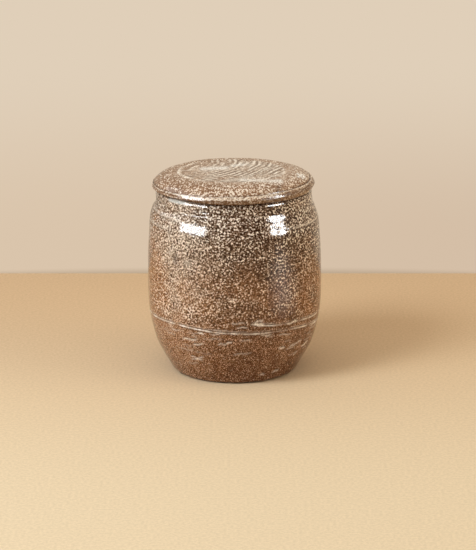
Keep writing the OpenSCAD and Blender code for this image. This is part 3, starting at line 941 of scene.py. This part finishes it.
# What lights and mirrors in the jar: a pale wall behind, a dim room in front and above.
room = wmix(wrange(wy, -0.75, 0.25, 0, 1), (0.16, 0.153, 0.142), (0.60, 0.49, 0.365))
room = wmix(wrange(wz, 0.25, 0.9, 0, 0.6), room, (0.42, 0.40, 0.37))
ways = wnew("ShaderNodeLightPath")
seen = wmix(ways.outputs["Is Camera Ray"], room, wall)
back = wnew("ShaderNodeBackground")
wt.links.new(seen, back.inputs["Color"])
wout = wnew("ShaderNodeOutputWorld")
wt.links.new(back.outputs[0], wout.inputs["Surface"])


def lamp(name, azimuth, elevation, distance, size, power, color=(1, 1, 1), shape="RECTANGLE", size_y=None, glossy=True, diffuse=True, aim=(0, 0, 0.1)):
    """An area light seen from the jar at that azimuth, from -Y towards +X, and elevation."""
    data = bpy.data.lights.new(name, "AREA")
    data.shape = shape
    data.size = size
    if size_y:
        data.size_y = size_y
    data.energy = power
    data.color = color
    ob = bpy.data.objects.new(name, data)
    bpy.context.scene.collection.objects.link(ob)
    a, e = math.radians(azimuth), math.radians(elevation)
    way = np.array([math.sin(a) * math.cos(e), -math.cos(a) * math.cos(e), math.sin(e)])
    ob.location = np.array(aim) + way * distance
    from mathutils import Vector
    ob.rotation_euler = (-Vector(way)).to_track_quat("-Z", "Z").to_euler()
    ob.visible_camera = False
    ob.visible_glossy = glossy
    ob.visible_diffuse = diffuse
    return ob


def radiance(value, w, h, disc=False):
    """Power of an area light of that size for that radiance."""
    return value * math.pi * w * h * (math.pi / 4 if disc else 1)


# Soft key from the left and front, which lights without showing in the glaze.
lamp("key", -53, 43, 2.2, 0.80, 31.0, (0.88, 0.97, 1.0), size_y=0.80, glossy=False)
lamp("overhead", -10, 75, 1.8, 1.8, 9.0, (1.0, 0.88, 0.67), size_y=1.8, glossy=False)
lamp("fill", 72, 22, 1.5, 0.9, 5.5, (1.0, 0.86, 0.58), size_y=0.9, glossy=False)
# What shows in the glaze: a box on the left, a round one on the right, and a pale card low on the right.
def panel(name, across, facing, distance, low, high, value, color, disc=False):
    """A panel seen only in the glaze. It faces the jar along the azimuth facing, that far away,
    reaches from one to the other distance across to the right, and from low to high."""
    w, h = across[1] - across[0], high - low
    data = bpy.data.lights.new(name, "AREA")
    data.shape = "ELLIPSE" if disc else "RECTANGLE"
    data.size, data.size_y = w, h
    data.energy = radiance(value, w, h, disc)
    data.color = color
    ob = bpy.data.objects.new(name, data)
    bpy.context.scene.collection.objects.link(ob)
    a, mid = math.radians(facing), sum(across) / 2
    ob.location = (math.sin(a) * distance + math.cos(a) * mid, -math.cos(a) * distance + math.sin(a) * mid, (low + high) / 2)
    ob.rotation_euler = (math.radians(90), 0, a)
    ob.visible_camera = False
    ob.visible_diffuse = False
    return ob


panel("box_left", (-1.12, -0.14), -31, 1.10, 0.18, 0.61, 32, (0.97, 0.985, 1.0))
panel("round_right", (-0.25, 0.25), 62.2, 1.10, 0.20, 0.69, 36, (0.97, 0.985, 1.0), disc=True)
panel("window_left", (-0.6, 0.5), -103, 1.3, 0.66, 1.5, 3.5, (0.95, 0.98, 1.0))

# Pale cards lying on the floor at the right, one in another, which grey the glaze above them.
for k, (w, h) in enumerate(((0.13, 0.46), (0.24, 0.62), (0.36, 0.78))):
    card = bpy.data.lights.new("card_%d" % k, "AREA")
    card.shape = "ELLIPSE"
    card.size, card.size_y = w, h
    card.energy = radiance(0.55, w, h, True)
    card.color = (1.0, 0.97, 1.0)
    card_ob = bpy.data.objects.new("card_%d" % k, card)
    bpy.context.scene.collection.objects.link(card_ob)
    card_ob.location = (math.sin(math.radians(60)) * 0.62, -math.cos(math.radians(60)) * 0.62, 0.006 + 0.001 * k)
    card_ob.rotation_euler = (math.pi, 0, math.radians(60))
    card_ob.visible_camera = card_ob.visible_diffuse = False

cam_data = bpy.data.cameras.new("camera")
cam_data.lens = 2191.9 / 550 * 36
cam_data.sensor_width = 36
cam_data.clip_start, cam_data.clip_end = 0.05, 50
cam = bpy.data.objects.new("camera", cam_data)
bpy.context.scene.collection.objects.link(cam)
cam.location = (0.004, -2.2, 0.6944)
cam.rotation_euler = (math.radians(90 - 15.197), 0, 0)
bpy.context.scene.camera = cam
bpy.context.scene.view_settings.view_transform = "Standard"
bpy.context.scene.view_settings.look = "None"
